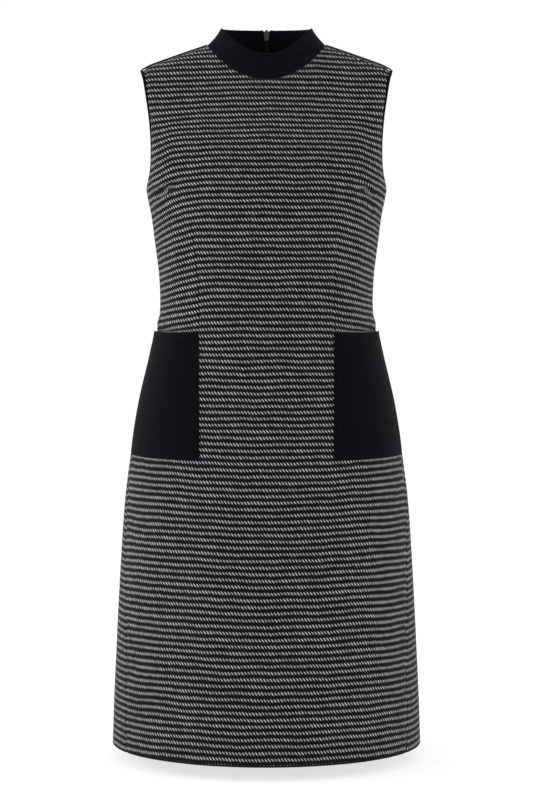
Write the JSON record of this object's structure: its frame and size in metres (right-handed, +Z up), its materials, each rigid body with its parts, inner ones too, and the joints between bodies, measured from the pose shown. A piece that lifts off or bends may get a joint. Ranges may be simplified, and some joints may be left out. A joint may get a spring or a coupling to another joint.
{
  "type": "a-line dress",
  "caption": "Sleeveless knee-length a-line dress in striped cloth, with a plain stand collar, hip patch pockets, bound armholes and a centre back zip.",
  "frame": {"origin": "midway between the two high shoulder points, where the neck meets the shoulder seams", "axes": "+Z up along the body, -Y to the front of the dress, +X to the wearer's left"},
  "size_m": [0.4098, 0.305, 0.947],
  "materials": {
    "striped_cloth": "matte wool-like weave, dark with broken pale stripes",
    "plain_cloth": "matte plain black-navy cloth",
    "edging": "folded dark binding",
    "zip_tape": "woven dark tape",
    "enamel": "dark satin enamel"
  },
  "bodies": {
    "dress": {"front": "striped_cloth", "back_left": "striped_cloth", "back_right": "striped_cloth", "collar": "plain_cloth", "pocket_left": "plain_cloth", "pocket_right": "plain_cloth", "armhole_binding_left": "edging", "armhole_binding_right": "edging", "zip_tape_left": "zip_tape", "zip_tape_right": "zip_tape", "zip_slider": "enamel"},
    "pull": {"zip_pull": "enamel"}
  },
  "joints": [
    {"name": "pull_hinge", "type": "hinge", "parent": "dress", "child": "pull", "pos_m": [0, 0.057, 0.017], "axis": [1, 0, 0], "range_deg": [0, 170]}
  ]
}
